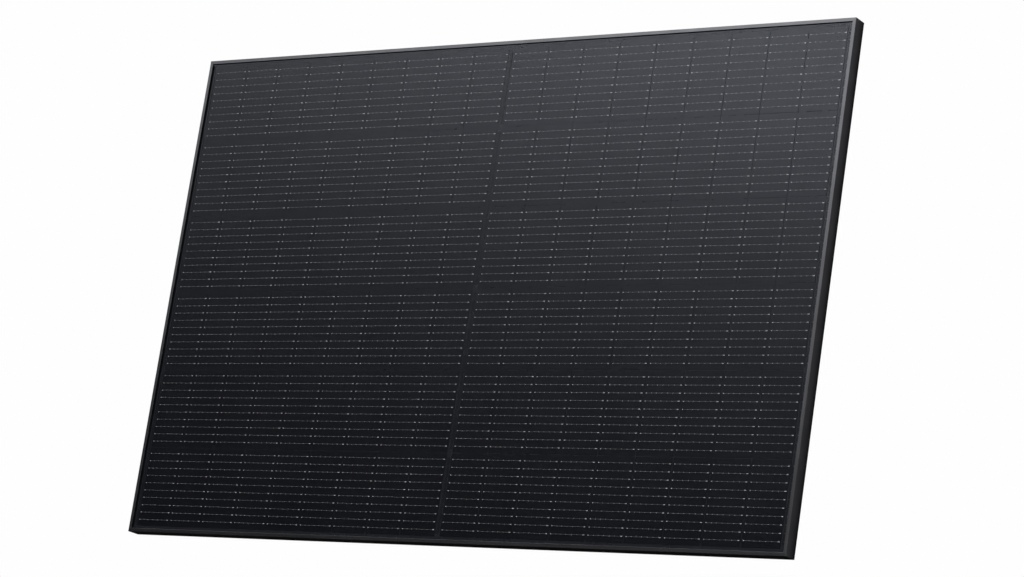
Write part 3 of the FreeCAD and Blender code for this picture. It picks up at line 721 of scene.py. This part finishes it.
def finish_cad_nodes():
    """Materials for the parts that keep their CAD shape."""
    cell = silicon()
    black_ribbon = laminated("black_ribbon", (0.0072, 0.0077, 0.0100), (0.0090, 0.0095, 0.0122),
                             RIBBON_SHINE)
    rubber = moulded("black_silicone", (0.010, 0.010, 0.010), (0.018, 0.018, 0.018), (0.5, 0.7))
    plastic = moulded("box_plastic", (0.014, 0.014, 0.015), (0.024, 0.024, 0.026), (0.45, 0.6))
    label = moulded("blank_label", (0.50, 0.51, 0.52), (0.56, 0.57, 0.58), (0.35, 0.45))
    for side in SIDES:
        string_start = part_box(f"cell_string_{side}_1")[0].x
        wire = tinned("tinned_wire_" + side, 0.25, string_start)
        for row in ROWS:
            paint(f"cell_string_{side}_{row}", cell)
            paint(f"cell_wires_{side}_{row}", wire)
    for node in ("centre_bus_ribbons", "left_bus_ribbons", "right_bus_ribbons"):
        paint(node, black_ribbon)
    paint("rating_label", label)
    paint("box_adhesive", rubber)
    paint("gland_seals", rubber)
    for side in ("top", "bottom", "left", "right"):
        paint("edge_sealant_" + side, rubber)
    for box in BOXES:
        make_eased("junction_box_base_" + box, plastic)
        make_eased("junction_box_lid_" + box, plastic)
    make_eased("gland_nuts", plastic)
    finish_hidden_nodes()


def finish_hidden_nodes():
    """Materials for the parts inside the rails and the junction boxes."""
    aluminium = plain_metal("bare_aluminium", (0.55, 0.56, 0.57), (0.68, 0.69, 0.70), (0.35, 0.45))
    copper = plain_metal("copper_terminal", (0.55, 0.30, 0.18), (0.70, 0.40, 0.25), (0.30, 0.40))
    diode = moulded("diode_body", (0.012, 0.012, 0.012), (0.020, 0.020, 0.020), (0.4, 0.5))
    gel = moulded("potting_gel", (0.20, 0.20, 0.21), (0.26, 0.26, 0.27), (0.25, 0.35), 400.0)
    for end in ("bottom_left", "bottom_right", "top_left", "top_right"):
        paint("corner_key_" + end, aluminium)
    paint("ribbon_leads", tinned("tinned_ribbon", 0.8))
    paint("junction_terminals", copper)
    paint("bypass_diodes", diode)
    paint("potting_gel", gel)


# Studio

def lobe(tree, direction, azimuth, elevation, sharpness, strength):
    """Light that falls off smoothly round one direction."""
    a = math.radians(azimuth)
    e = math.radians(elevation)
    axis = (-math.sin(a) * math.cos(e), -math.cos(a) * math.cos(e), math.sin(e))
    dot = tree.nodes.new("ShaderNodeVectorMath")
    dot.operation = "DOT_PRODUCT"
    dot.inputs[1].default_value = axis
    tree.links.new(direction, dot.inputs[0])
    fall = math_node(tree, "MULTIPLY", math_node(tree, "SUBTRACT", dot.outputs["Value"], 1.0), sharpness)
    return math_node(tree, "MULTIPLY", math_node(tree, "EXPONENT", fall), strength)


def make_world():
    """Soft studio light: a large overhead bank in front, dimmer banks round it, a white background."""
    world = bpy.data.worlds.new("studio")
    bpy.context.scene.world = world
    world.use_nodes = True
    tree = world.node_tree
    tree.nodes.clear()
    direction = tree.nodes.new("ShaderNodeTexCoord").outputs["Generated"]
    light = lobe(tree, direction, *KEY_BANK)
    light = math_node(tree, "MINIMUM", light, KEY_LIMIT)
    light = math_node(tree, "ADD", light, AMBIENT)
    for bank in DIM_BANKS:
        light = math_node(tree, "ADD", light, lobe(tree, direction, *bank))
    lit = tree.nodes.new("ShaderNodeBackground")
    tree.links.new(light, lit.inputs["Strength"])
    seen = tree.nodes.new("ShaderNodeBackground")
    seen.inputs["Color"].default_value = (0.99, 0.99, 0.99, 1)
    path = tree.nodes.new("ShaderNodeLightPath")
    mix = tree.nodes.new("ShaderNodeMixShader")
    tree.links.new(path.outputs["Is Camera Ray"], mix.inputs["Fac"])
    tree.links.new(lit.outputs["Background"], mix.inputs[1])
    tree.links.new(seen.outputs["Background"], mix.inputs[2])
    output = tree.nodes.new("ShaderNodeOutputWorld")
    tree.links.new(mix.outputs["Shader"], output.inputs["Surface"])


def make_floor():
    """A plain pale floor, well below the panel, which is held by its slots."""
    mesh = bpy.data.meshes.new("floor")
    half = FLOOR_HALF
    corners = [(-half, -half), (half, -half), (half, half), (-half, half)]
    mesh.from_pydata([(x, y, FLOOR_HEIGHT) for x, y in corners], [], [(0, 1, 2, 3)])
    floor = bpy.data.objects.new("floor", mesh)
    bpy.context.scene.collection.objects.link(floor)
    material, tree, shader = new_material("pale_floor")
    cloud = noise(tree, object_place(tree), 0.6)
    shade = ramp(tree, cloud, [(0.3, (0.78, 0.78, 0.77)), (0.7, (0.80, 0.80, 0.79))])
    tree.links.new(shade, shader.inputs["Base Color"])
    shader.inputs["Roughness"].default_value = 0.9
    mesh.materials.append(material)
    floor.visible_glossy = False
    floor.visible_diffuse = False


def make_camera():
    """The camera, placed so that the panel is seen from low on its right."""
    data = bpy.data.cameras.new("camera")
    data.lens = LENS
    data.sensor_width = SENSOR
    data.shift_x, data.shift_y = SHIFT
    camera = bpy.data.objects.new("camera", data)
    bpy.context.scene.collection.objects.link(camera)
    look = CAMERA_LOOK.normalized()
    right = (CAMERA_RIGHT - look * CAMERA_RIGHT.dot(look)).normalized()
    up = right.cross(look)
    turn = Matrix((right, up, -look)).transposed().to_4x4()
    camera.matrix_world = Matrix.Translation(CAMERA_PLACE) @ turn
    bpy.context.scene.camera = camera


def set_colours():
    """Plain colour output."""
    bpy.context.scene.view_settings.view_transform = "Standard"


make_camera()
make_frame()
make_glass()
make_backsheet()
make_pads()
finish_cad_nodes()
make_world()
make_floor()
set_colours()
